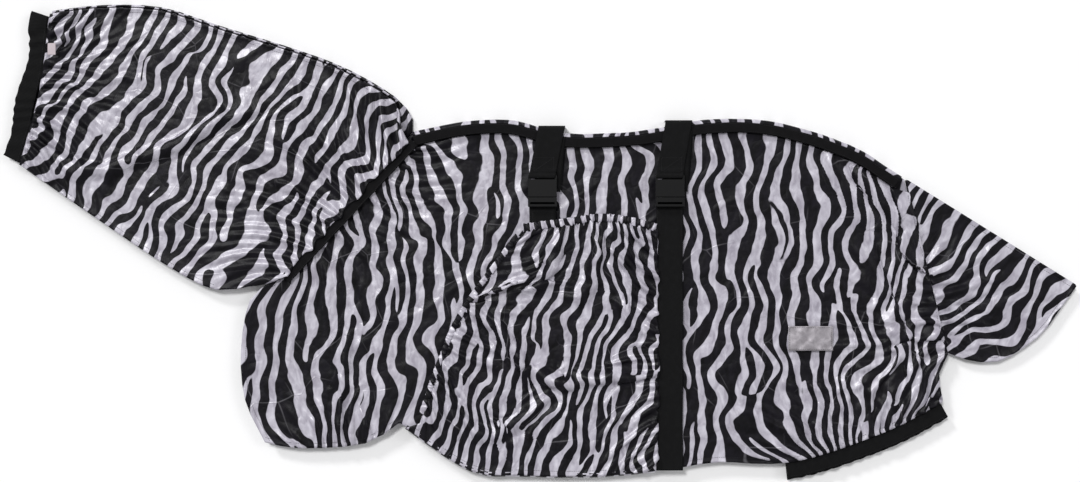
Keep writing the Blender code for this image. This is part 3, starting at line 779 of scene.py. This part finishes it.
def swept(
    name, line, section, material, step=0.004, sway=None, full=1.0, closed=True, thick=None, like=None
):
    """A strip of cloth, tape or webbing: a section of (sideways, height) points drawn along a line.

    Sideways is to the left of the line's direction. Sway adds (along, sideways, height) to each point.
    Full is how much longer the strip was cut. Like (piece, degrees) carries on that piece's print.
    """
    centres, run = resampled(np.asarray(line, float), step)
    way, left = way_and_left(centres)
    section = np.asarray(section, float)
    n, m = len(centres), len(section)
    runs, sides = np.repeat(run[:, None], m, 1), np.repeat(section[None, :, 0], n, 0)
    levels = np.repeat(section[None, :, 1], n, 0)
    along = np.zeros((n, m))
    if sway:
        moved = sway(runs, sides, levels)
        along, sides, levels = moved[0], sides + moved[1], levels + moved[2]
    points = np.dstack(
        [
            centres[:, None, 0] + left[:, None, 0] * sides + way[:, None, 0] * along,
            centres[:, None, 1] + left[:, None, 1] * sides + way[:, None, 1] * along,
            levels,
        ]
    ).reshape(-1, 3)
    faces = []
    for i in range(n - 1):
        for j in range(m if closed else m - 1):
            k = (j + 1) % m
            faces.append((i * m + j, i * m + k, (i + 1) * m + k, (i + 1) * m + j))
    if closed:
        faces.append(tuple(range(m))[::-1])
        faces.append(tuple(range((n - 1) * m, n * m)))
    mesh = bpy.data.meshes.new(name)
    mesh.from_pydata(points, [], faces)
    girth = np.r_[0, np.cumsum(np.linalg.norm(np.diff(section, axis=0), axis=1))]
    across = section[:, 0] if closed else girth
    printed = np.dstack([runs * full, np.repeat(across[None], n, 0)]).reshape(-1, 2)
    if like:
        printed = turned(points[:, :2], like[1])
    lay_print(mesh, printed, like[0] if like else name)
    mesh.materials.append(material)
    work = bmesh.new()
    work.from_mesh(mesh)
    bmesh.ops.recalc_face_normals(work, faces=work.faces)
    work.to_mesh(mesh)
    work.free()
    return thickened(name, mesh, thick)


def flat_section(width, thick, bottom, across=10, arch=0.0):
    """The section of a flat tape: thinner at its two selvedges, and arched if it lies over a ridge."""
    side = np.linspace(-width / 2, width / 2, across + 1)
    share = np.abs(2 * side / width)
    body = thick * (1 - 0.55 * share**8)
    lift = arch * (1 - share**2)
    under = np.column_stack([side, bottom + (thick - body) / 2 + lift])
    over = np.column_stack([side, bottom + (thick + body) / 2 + lift])
    return np.vstack([under, over[::-1]])


def finish_strip(piece, body, nodes):
    """Rides a strip on its body and hides the CAD nodes that it takes the place of."""
    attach(piece, body)
    if nodes:
        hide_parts(*nodes)


def ripples(pitch, lift, sideways, seed, spread=1.0):
    """Small uneven waves along a strip, for anything that is gathered or not quite flat."""

    def sway(run, side, level):
        phase = run / pitch + 0.7 * soft_noise(run / (2.5 * pitch), side * 0, seed)
        size = 0.7 + 0.5 * soft_noise(run / (2 * pitch), side * 0 + 3, seed + 1)
        wave = np.sin(2 * np.pi * (phase + spread * side / pitch * 0.3))
        return 0 * run, sideways * size * np.cos(2 * np.pi * phase), lift * size * wave

    return sway


spine_line = middle_line("spine_binding")
turn_section = [(-10, 26.2), (-6, 26.4), (-3, 25), (-0.9, 21.5), (-0.4, 16), (-0.9, 10), (-3, 5.6)]
turn_section = np.array([(17 + y, z) for y, z in [*turn_section, (-7, 3.6), (-14, 3.2)]]) / 1000
wave = ripples(0.09, 0.0004, 0.0005, 301)
turn_over = swept(
    "spine_turn_over", spine_line, turn_section, ZEBRA, sway=wave, closed=False, thick=CLOTH_THICKNESS
)
finish_strip(turn_over, "sheet", [])

BAND_WIDTH = 0.019
band_section = flat_section(BAND_WIDTH, 0.0012, 0.0268, arch=0.0005)
band = swept("spine_band", spine_line, band_section, TAPE, sway=ripples(0.11, 0.0003, 0.0006, 302))
finish_strip(
    band, "sheet", ["spine_binding"]
)

TAPE_WIDTH = 0.020
for side, level, lift in (("near", 0.0283, 0.0003), ("far", 0.0082, 0.0001)):
    node, rests = f"{side}_neckline_binding", [f"{side}_side_cloth"]
    line = middle_line(node)
    section = flat_section(TAPE_WIDTH, 0.0013, level)
    wave = ripples(0.021, lift, 0.0008, 311)
    tape = swept(f"{side}_neckline_tape", line, section, TAPE, 0.003, wave)
    finish_strip(tape, "sheet", [node])

crest_line = middle_line("crest_tape")
crest_ring = np.linspace(0, 2 * np.pi, 13)[:-1]
crest_section = [(0.0022 * math.cos(a) - 0.0005, 0.0125 + 0.0058 * math.sin(a)) for a in crest_ring]
wave = ripples(0.05, 0.0006, 0.0006, 321)
crest = swept("crest_seam", crest_line, crest_section, ZEBRA, sway=wave, like=("neck_near_cloth", 28))
length, rests = length_of(crest_line), ["neck_far_cloth"]
finish_strip(crest, "neck_cover", ["crest_tape"])

belly_line = middle_line("belly_flap_fold")
belly_section = [(9, 3.4), (4, 4.0), (0.6, 7), (-0.9, 12), (-1.1, 17), (-0.7, 23), (0.8, 27.5), (3.2, 29.6)]
belly_section = np.array([*belly_section, (8, 30.4)]) / 1000
belly = swept(
    "belly_turn_up",
    belly_line,
    belly_section,
    ZEBRA,
    sway=ripples(0.055, 0.0006, 0.0006, 331),
    closed=False,
    thick=CLOTH_THICKNESS,
    like=("belly_flap_cloth", FLAP_GRAIN),
)
length = length_of(belly_line)
finish_strip(belly, "sheet", ["belly_flap_fold"])


# The gathered edges of the flap: a narrow casing of the same cloth, drawn up tight on a thin elastic.
# It stands in small upright pleats with a scalloped outer edge. The print is squeezed together along
# the top casing, and on the front casing it carries on from the flap.

CASING_HALF, CASING_FULLNESS = 0.0076, 1.7
for edge_name, half, like, seed in (
    ("flap_top", CASING_HALF, None, 341),
    ("flap_front", 0.0056, ("belly_flap_cloth", -38), 351),
):
    node = f"{edge_name}_elastic"
    line = middle_line(node)
    ring = np.linspace(0, 2 * np.pi, 19)[:-1]
    section = np.column_stack([half * np.cos(ring) - 0.0022, 0.0318 + 0.0017 * np.sin(ring)])

    def scallops(run, side, level, seed=seed):
        phase = run / 0.0098 + 1.3 * soft_noise(run / 0.023, side * 0, seed)
        phase = phase + 0.35 * soft_noise(run / 0.02, side / 0.008, seed + 3)
        pleat = np.abs(np.sin(np.pi * phase)) ** 0.8
        size = 0.75 + 0.4 * soft_noise(run / 0.017, side * 0 + 9, seed + 1)
        share = np.abs(side) / CASING_HALF
        drift = 0.0009 * soft_noise(run / 0.03, side * 0 + 5, seed + 2)
        return (
            0.0009 * np.sin(2 * np.pi * phase) * size * share,
            side * (0.34 * (pleat - 0.75) * size) + drift,
            0.0042 * (pleat - 0.35) * size * (0.35 + 0.65 * share),
        )

    casing = swept(
        f"{edge_name}_casing", line, section, ZEBRA, 0.0013, scallops, CASING_FULLNESS, like=like
    )
    rests = ["belly_flap_cloth"]
    finish_strip(casing, "sheet", [node])


# The elastics at the poll, the front hem and the rear hem: wide black ribbed braid, sewn to the cloth
# while stretched, so that it draws the cloth in and lies in small cross ripples itself.

# Ribbed elastic: cross ribs that give the band a soft corded grain.
ELASTIC = woven_black("ribbed_braided_elastic_black", 0.0026, 0.0, "0A0A0B", 0.68, 0.00030)
LEAST_SHEET_WIDTH = 0.0102
for node, bottom, body, seed, lift in (
    ("poll_elastic_near", 0.0160, "neck_cover", 401, 0.0010),
    ("poll_elastic_far", 0.0015, "neck_cover", 411, 0.0006),
    ("rear_hem_elastic_near", 0.0160, "sheet", 421, 0.0011),
    ("rear_hem_elastic_far", 0.0015, "sheet", 431, 0.0006),
    ("front_hem_elastic_near", 0.0142, "sheet", 441, 0.0001),
    ("front_hem_elastic_far", 0.0083, "sheet", 451, 0.0001),
):
    line = middle_line(node)
    width = max(area_of(outline_of(node)) / length_of(line), LEAST_SHEET_WIDTH)
    if "poll" in node:
        share = np.linspace(0, 1, len(line))
        bulge = 0.0058 * np.sin(2 * np.pi * 1.6 * share + 0.6) * np.sin(np.pi * share) ** 0.5
        line = line + np.column_stack([bulge, 0 * bulge])
    section = flat_section(width, 0.0024 if width > 0.025 else 0.0014, bottom)
    wave = ripples(0.024, lift, 1.2 * lift, seed)
    strip = swept(node.replace("_elastic", "_braid"), line, section, ELASTIC, 0.0025, wave)
    rests = "floor" if "far" in node else node.replace("_elastic_near", "_braid_far")
    finish_strip(strip, body, [node])


# The two straps: flat black polypropylene webbing, woven in a herringbone. Each comes up round the
# spine, runs down to its buckle and doubles back under itself. The long band that carries the rear
# clip and the short tab that carries the front clip are the same webbing.

# Strap webbing: a coarser herringbone than the tape, with a dry sheen along its ribs.
WEBBING = woven_black("polypropylene_webbing_black", 0.0024, 1.0, "0C0C0D", 0.70, 0.00028)
WEBBING_WIDTH, WEBBING_THICKNESS = 0.050, 0.0017


def strap_over(name, node, slope, low_y, bend=0.007):
    """A strap and its length: from under the spine, round it, and down over the bar of the buckle."""
    corners = np.array([v.co for v in cad[node].data.vertices])
    top = corners[:, 1].max()
    left = corners[corners[:, 1] < low_y + 0.004, 0].min()
    level = 0.0322
    outer = [(top, 0.0006), (top, 0.020)]
    for a in np.linspace(0, np.pi / 2, 7)[1:]:
        outer.append((top - bend * (1 - math.cos(a)), level - bend + bend * math.sin(a)))
    for share in np.linspace(0, 1, 12)[1:]:
        outer.append((top - bend + (low_y + 0.012 - top + bend) * share, level))
    up_to_bar = (7.5, 34.5), (4.0, 40.0), (1.6, 43.2), (-0.8, 44.0)
    down_from_bar = (-4.6, 44.0), (-6.8, 43.2), (-7.7, 41.0), (-7.9, 34.0)
    outer += [(low_y + y / 1000, z / 1000) for y, z in up_to_bar + down_from_bar]
    outer = np.array(outer)
    inner = outer + WEBBING_THICKNESS * way_and_left(outer)[1]
    section = np.vstack([outer, inner[::-1]])
    line = np.array([[left, 0.0], [left + WEBBING_WIDTH, 0.0]])

    def lie(run, side, level):
        between = (side < top - 2 * bend) * (side > low_y + 0.015)
        sag = 0.0005 * soft_noise(side / 0.03, run * 0, 461) * between
        return slope * (side - low_y), 0 * side, sag

    strap = swept(name, line, section, WEBBING, 0.0025, lie)
    turn_uv(strap)
    return strap, top - low_y + 0.03


def turn_uv(piece):
    """Swaps the two ways of a strip's pattern, so that the ribs cross it."""
    layer = piece.data.uv_layers["cloth"]
    values = np.empty(2 * len(layer.data), np.float32)
    layer.data.foreach_get("uv", values)
    layer.data.foreach_set("uv", values.reshape(-1, 2)[:, ::-1].ravel())


def ends_of(node):
    """The least and greatest corner of a CAD node, and all its points."""
    corners = np.array([v.co for v in cad[node].data.vertices])
    return corners.min(axis=0), corners.max(axis=0), corners


for strap_name in ("front", "rear"):
    node = f"{strap_name}_strap"
    low, high, corners = ends_of(node)
    near_top = corners[corners[:, 1] > high[1] - 0.002]
    slope = (near_top[:, 0].min() - low[0]) / (high[1] - low[1])
    strap, length = strap_over(f"{node}_webbing", node, slope, low[1])
    finish_strip(strap, "sheet", [node])
    low, high, corners = ends_of(f"{node}_tail")
    bottom_left = corners[corners[:, 1] < low[1] + 0.002, 0].min()
    top_left = corners[corners[:, 1] > high[1] - 0.002, 0].min()
    half = WEBBING_WIDTH / 2
    line = np.array([[bottom_left + half, low[1]], [top_left + half, high[1]]])
    section = flat_section(WEBBING_WIDTH, WEBBING_THICKNESS, low[2])
    wave = ripples(0.07, 0.0001, 0.0002, 471)
    tail = swept(f"{node}_end", line, section, WEBBING, 0.003, wave)
    length, rests = length_of(line), ["near_side_cloth"]
    finish_strip(tail, "sheet", [f"{node}_tail"])

for name, node, seed in (
    ("front_tab_webbing", "front_flap_tab", 481),
    ("long_band_webbing", "rear_girth_band", 491),
):
    low, high, _ = ends_of(node)
    middle, width = (low[0] + high[0]) / 2, high[0] - low[0]
    line = np.array([[middle, low[1] + 0.0005], [middle, high[1]]])
    section = flat_section(width, WEBBING_THICKNESS, low[2] + 0.0002)
    strip = swept(name, line, section, WEBBING, 0.003, ripples(0.16, 0.0004, 0.0006, seed))
    length, rests = length_of(line), ["near_side_cloth"]
    finish_strip(strip, "sheet", [node])


# The buckles keep their modelled shapes: two side-release buckles, each a socket sewn to its strap and
# a clip with two springy arms, moulded in black acetal with a fine matt texture.


def plain_black(name, hex_colour, roughness, grain, relief, shine):
    """A black finish with a fine all-over grain, for moulded plastic, thread and napped tape."""
    material, tree, shader = new_material(name)
    place = add_node(tree, "ShaderNodeTexCoord").outputs["Object"]
    grains = noise(tree, place, grain, 3.0)["Fac"]
    tree.links.new(bumped(tree, grains, 0.35, relief), shader.inputs["Normal"])
    worn = ranged(tree, grains, 0.0, 1.0, roughness - 0.08, roughness + 0.08)
    tree.links.new(worn, shader.inputs["Roughness"])
    shader.inputs["Base Color"].default_value = linear(hex_colour)
    shader.inputs["Specular IOR Level"].default_value = shine
    return material


# Moulded acetal: a spark-eroded matt face with just enough sheen to show the edges of the clips.
ACETAL = plain_black("moulded_acetal_black", "060607", 0.42, 900, 0.00006, 0.24)
for name, node in cad.items():
    if "buckle" in name or "clip" in name:
        node.data.materials.clear()
        node.data.materials.append(ACETAL)


# The reflective patch on the flank and the care label at the poll: a silver glass-bead film and a
# white printed satin ribbon, both left blank, each sewn down flat and very slightly buckled.


def patch_cloth(name, node, body, slot, material, cell, level, lift, seed, thick, rests):
    """A small patch, cut to a CAD node's outline, that lies at one level and buckles a little."""
    outline = outline_of(node)
    flat, squares, _, _ = cut_cloth(outline, cell)
    wave = soft_noise(flat[:, 0] / 0.012, flat[:, 1] / 0.012, seed)
    places = np.column_stack([flat, level + lift * wave])
    piece = make_cloth(name, places, squares, flat, 0, thick, material)
    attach(piece, body)
    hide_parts(node)
    length = length_of(middle_line(node))


# Silver film: a dull metallic grey that glass beads make sparkle a little, scuffed in soft blotches.
FILM, film_tree, film_shader = new_material("retroreflective_silver_film")
film_place = add_node(film_tree, "ShaderNodeTexCoord").outputs["Object"]
beads = noise(film_tree, film_place, 2500, 2.0)["Fac"]
scuffs = noise(film_tree, film_place, 110, 5.0, 0.8)["Fac"]
silver = mixed(film_tree, scuffs, linear("7A757A"), linear("CBC6CC"))
film_tree.links.new(silver, film_shader.inputs["Base Color"])
film_tree.links.new(bumped(film_tree, beads, 0.4, 0.0001), film_shader.inputs["Normal"])
film_shader.inputs["Metallic"].default_value = 0.55
film_shader.inputs["Roughness"].default_value = 0.45
SMALL_PATCH_THICKNESS = 0.0004
patch_cloth(
    "reflective_patch_film",
    "reflective_patch",
    "sheet",
    "reflective_film",
    FILM,
    cell=0.002,
    level=0.0293,
    lift=0.0013,
    seed=501,
    thick=SMALL_PATCH_THICKNESS,
    rests="near_side_cloth",
)

# Label ribbon: a faintly pink white, a little softer and warmer than the cloth round it.
LABEL, label_tree, label_shader = new_material("satin_label_ribbon_white")
label_place = add_node(label_tree, "ShaderNodeTexCoord").outputs["Object"]
label_weave = noise(label_tree, label_place, 500, 2.0)["Fac"]
label_colour = mixed(label_tree, label_weave, linear("C9BEC3"), linear("B9ABB1"))
label_tree.links.new(label_colour, label_shader.inputs["Base Color"])
label_shader.inputs["Roughness"].default_value = 0.5
patch_cloth(
    "care_label_ribbon",
    "care_label",
    "neck_cover",
    "white_label",
    LABEL,
    cell=0.0012,
    level=0.0345,
    lift=0.0004,
    seed=511,
    thick=SMALL_PATCH_THICKNESS,
    rests="neck_near_cloth",
)


# The closures at the chest and the throat: a stiff hook tape under the near side and a soft napped
# loop tape on the far side, both black nylon, sewn down flat and pressed together.

# The loop side is a deep dry black pile; the hook side is harder and catches a little light.
LOOP = plain_black("napped_nylon_loop_tape_black", "161517", 0.95, 1400, 0.0006, 0.1)
HOOK = plain_black("moulded_nylon_hook_tape_black", "0E0E10", 0.60, 700, 0.0005, 0.25)
for place, body, seed in (("chest", "sheet", 521), ("throat", "neck_cover", 531)):
    for kind, material in (("loop", LOOP), ("hook", HOOK)):
        node = f"{place}_{kind}_strip"
        low, high, _ = ends_of(node)
        thick = 0.7 * (high[2] - low[2])
        level = (low[2] + high[2]) / 2
        name, lift = f"{place}_{kind}_tape", 0.1 * thick
        cut = 0.003, level, lift, seed, thick, "far_side_cloth"
        patch_cloth(name, node, body, "hook_and_loop", material, *cut)


# The stitching: black polyester thread, lock-stitched in rows along each tape, round the patch and
# just inside every hem. One node group lays the same short stitch along any set of rows.

# Polyester thread: slightly lighter than the tape, so that each row shows as a fine dotted line.
THREAD = plain_black("polyester_thread_black", "1A191C", 0.55, 1800, 0.0001, 0.3)
STITCH_SPACING = 0.0042
STITCH_LENGTH = 0.0031
THREAD_RADIUS = 0.00028
ROW_STEP = 0.008
EDGE_INSET = 0.0022
BOX_HALF = 0.0185


def stitch_group():
    """Node group: rows of edges in, rows of short round stitches out."""
    group = bpy.data.node_groups.new("stitch_rows", "GeometryNodeTree")
    group.interface.new_socket("Rows", in_out="INPUT", socket_type="NodeSocketGeometry")
    for name in ("Stitch Spacing", "Stitch Length", "Thread Radius"):
        group.interface.new_socket(name, in_out="INPUT", socket_type="NodeSocketFloat")
    group.interface.new_socket("Stitches", in_out="OUTPUT", socket_type="NodeSocketGeometry")
    given = add_node(group, "NodeGroupInput").outputs
    lines = add_node(group, "GeometryNodeMeshToCurve", {"Mesh": given["Rows"]})
    spacing = {"Curve": lines.outputs[0], "Length": given["Stitch Spacing"]}
    spaced = add_node(group, "GeometryNodeResampleCurve", spacing, mode="LENGTH")
    stitch = add_node(
        group,
        "GeometryNodeMeshCylinder",
        {"Vertices": 6, "Radius": given["Thread Radius"], "Depth": given["Stitch Length"]},
    )
    tangent = add_node(group, "GeometryNodeInputTangent")
    along = add_node(
        group, "FunctionNodeAlignRotationToVector", {"Vector": tangent.outputs[0]}, axis="Z"
    )
    sewn = add_node(
        group,
        "GeometryNodeInstanceOnPoints",
        {"Points": spaced.outputs[0], "Instance": stitch.outputs["Mesh"], "Rotation": along.outputs[0]},
    )
    real = add_node(group, "GeometryNodeRealizeInstances", {0: sewn.outputs[0]})
    dyed = add_node(group, "GeometryNodeSetMaterial", {"Geometry": real.outputs[0], "Material": THREAD})
    add_node(group, "NodeGroupOutput", {"Stitches": dyed.outputs[0]})
    return group


STITCHES = stitch_group()


def sew(name, rows, body):
    """Lays stitches along rows of points, as one piece on a body."""
    mesh = bpy.data.meshes.new(name)
    points, edges = [], []
    for row in rows:
        edges += [(len(points) + k, len(points) + k + 1) for k in range(len(row) - 1)]
        points += [tuple(map(float, p)) for p in row]
    mesh.from_pydata(points, edges, [])
    piece = bpy.data.objects.new(name, mesh)
    bpy.context.collection.objects.link(piece)
    lay = piece.modifiers.new("stitches", "NODES")
    lay.node_group = STITCHES
    size = {
        "Stitch Spacing": STITCH_SPACING,
        "Stitch Length": STITCH_LENGTH,
        "Thread Radius": THREAD_RADIUS,
    }
    for item in STITCHES.interface.items_tree:
        if item.name in size:
            lay[item.identifier] = size[item.name]
    as_plain_mesh(piece)
    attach(piece, body)
    return piece


def beside(line, offset):
    """A row at a constant distance to the left of a line."""
    centres, _ = resampled(np.asarray(line, float), ROW_STEP)
    return centres + offset * way_and_left(centres)[1]


def lying_on(row, pieces, lift=0.0001):
    """The row dropped straight down on to the cloth below it."""
    trees = [
        BVHTree.FromPolygons([v.co for v in p.data.vertices], [f.vertices for f in p.data.polygons])
        for p in pieces
    ]
    found = []
    for x, y in row:
        hits = [tree.ray_cast(Vector((x, y, 0.2)), Vector((0, 0, -1)))[0] for tree in trees]
        tops = [hit.z for hit in hits if hit]
        if tops:
            found.append((x, y, max(tops) + lift))
    return found


def inside_of(outline, inset, keep):
    """The stretch of an outline that a rule keeps, moved inwards."""
    loop, _ = resampled(np.vstack([outline, outline[:1]]), ROW_STEP)
    way = np.roll(loop, -1, axis=0) - np.roll(loop, 1, axis=0)
    way /= np.linalg.norm(way, axis=1)[:, None] + 1e-12
    inward = np.column_stack([-way[:, 1], way[:, 0]])
    x, y = outline.T
    if np.dot(x, np.roll(y, -1)) - np.dot(y, np.roll(x, -1)) < 0:
        inward = -inward
    rows, row = [], []
    for point, moved in zip(loop, loop + inset * inward):
        if keep(point):
            row.append(moved)
        elif len(row) > 3:
            rows.append(row)
            row = []
        else:
            row = []
    return rows + ([row] if len(row) > 3 else [])


def box_of(low_x, high_x, low_y, high_y):
    """The corners of a stitched box, back to the first one."""
    return [(low_x, low_y), (high_x, low_y), (high_x, high_y), (low_x, high_y), (low_x, low_y)]


def hem_rows(outline, inset, piece, keep):
    """Rows of stitches along the hem of a piece, where a rule keeps them."""
    return [lying_on(row, [piece]) for row in inside_of(outline, inset, keep)]


made = bpy.data.objects
rows = []
for line, width, piece_name in (
    (spine_line, BAND_WIDTH, "spine_band"),
    (neck_line, TAPE_WIDTH, "near_neckline_tape"),
    (np.array([[0.2432, band_low + 0.01], [0.2432, band_top - 0.004]]), WEBBING_WIDTH, "long_band_webbing"),
):
    for offset in (width / 2 - EDGE_INSET, EDGE_INSET - width / 2):
        rows.append(lying_on(beside(line, offset), [made[piece_name]]))
patch_low, patch_high, _ = ends_of("reflective_patch")
patch_middle = (patch_low[:2] + patch_high[:2]) / 2
patch_box = np.array(box_of(patch_low[0], patch_high[0], patch_low[1], patch_high[1]))
strap_box = [*box_of(-BOX_HALF, BOX_HALF, 0.133, 0.158), (BOX_HALF, 0.158)]
for box, piece_name in (
    (np.array(strap_box) + (0.0072, 0), "front_strap_webbing"),
    (np.array(strap_box) + (0.2465, 0), "rear_strap_webbing"),
    (np.array(box_of(-0.018, 0.018, 0.040, 0.058)) + (0.0045, 0), "front_tab_webbing"),
    (patch_middle + (patch_box - patch_middle) * (0.93, 0.88), "reflective_patch_film"),
):
    rows.append(lying_on(resampled(box, 0.002)[0], [made[piece_name]]))
near_cloth, near_hem = made["near_side_cloth"], outline_of("near_side_panel")
for inset, keep in (
    (0.009, lambda p: p[1] < -0.03 and p[0] < -0.26),
    (0.009, lambda p: p[1] < -0.25 and p[0] > 0.28),
    (0.004, lambda p: p[0] > 0.695),
):
    rows += hem_rows(near_hem, inset, near_cloth, keep)
rows += hem_rows(flap_outline, 0.010, flap, lambda p: p[1] < -0.34 and p[0] < 0.2)
rows.append(lying_on(beside(rear_hem_line, -0.011), [made["rear_hem_braid_near"]]))
sew("body_stitching", [row for row in rows if len(row) > 1], "sheet")

rows = hem_rows(
    outline_of("neck_near_panel"),
    0.008,
    made["neck_near_cloth"],
    lambda p: np.dot(p - seam_top, seam_out) > 0.07,
)
rows.append(lying_on(beside(poll_line, -0.012), [made["poll_braid_near"]]))
sew("neck_stitching", [row for row in rows if len(row) > 1], "neck_cover")
tail_hem, tail_cloth = outline_of("tail_flap_near_half"), made["tail_flap_near_cloth"]
rows = hem_rows(tail_hem, 0.008, tail_cloth, lambda p: p[0] > 0.80)
sew("tail_stitching", [row for row in rows if len(row) > 1], "tail_flap")
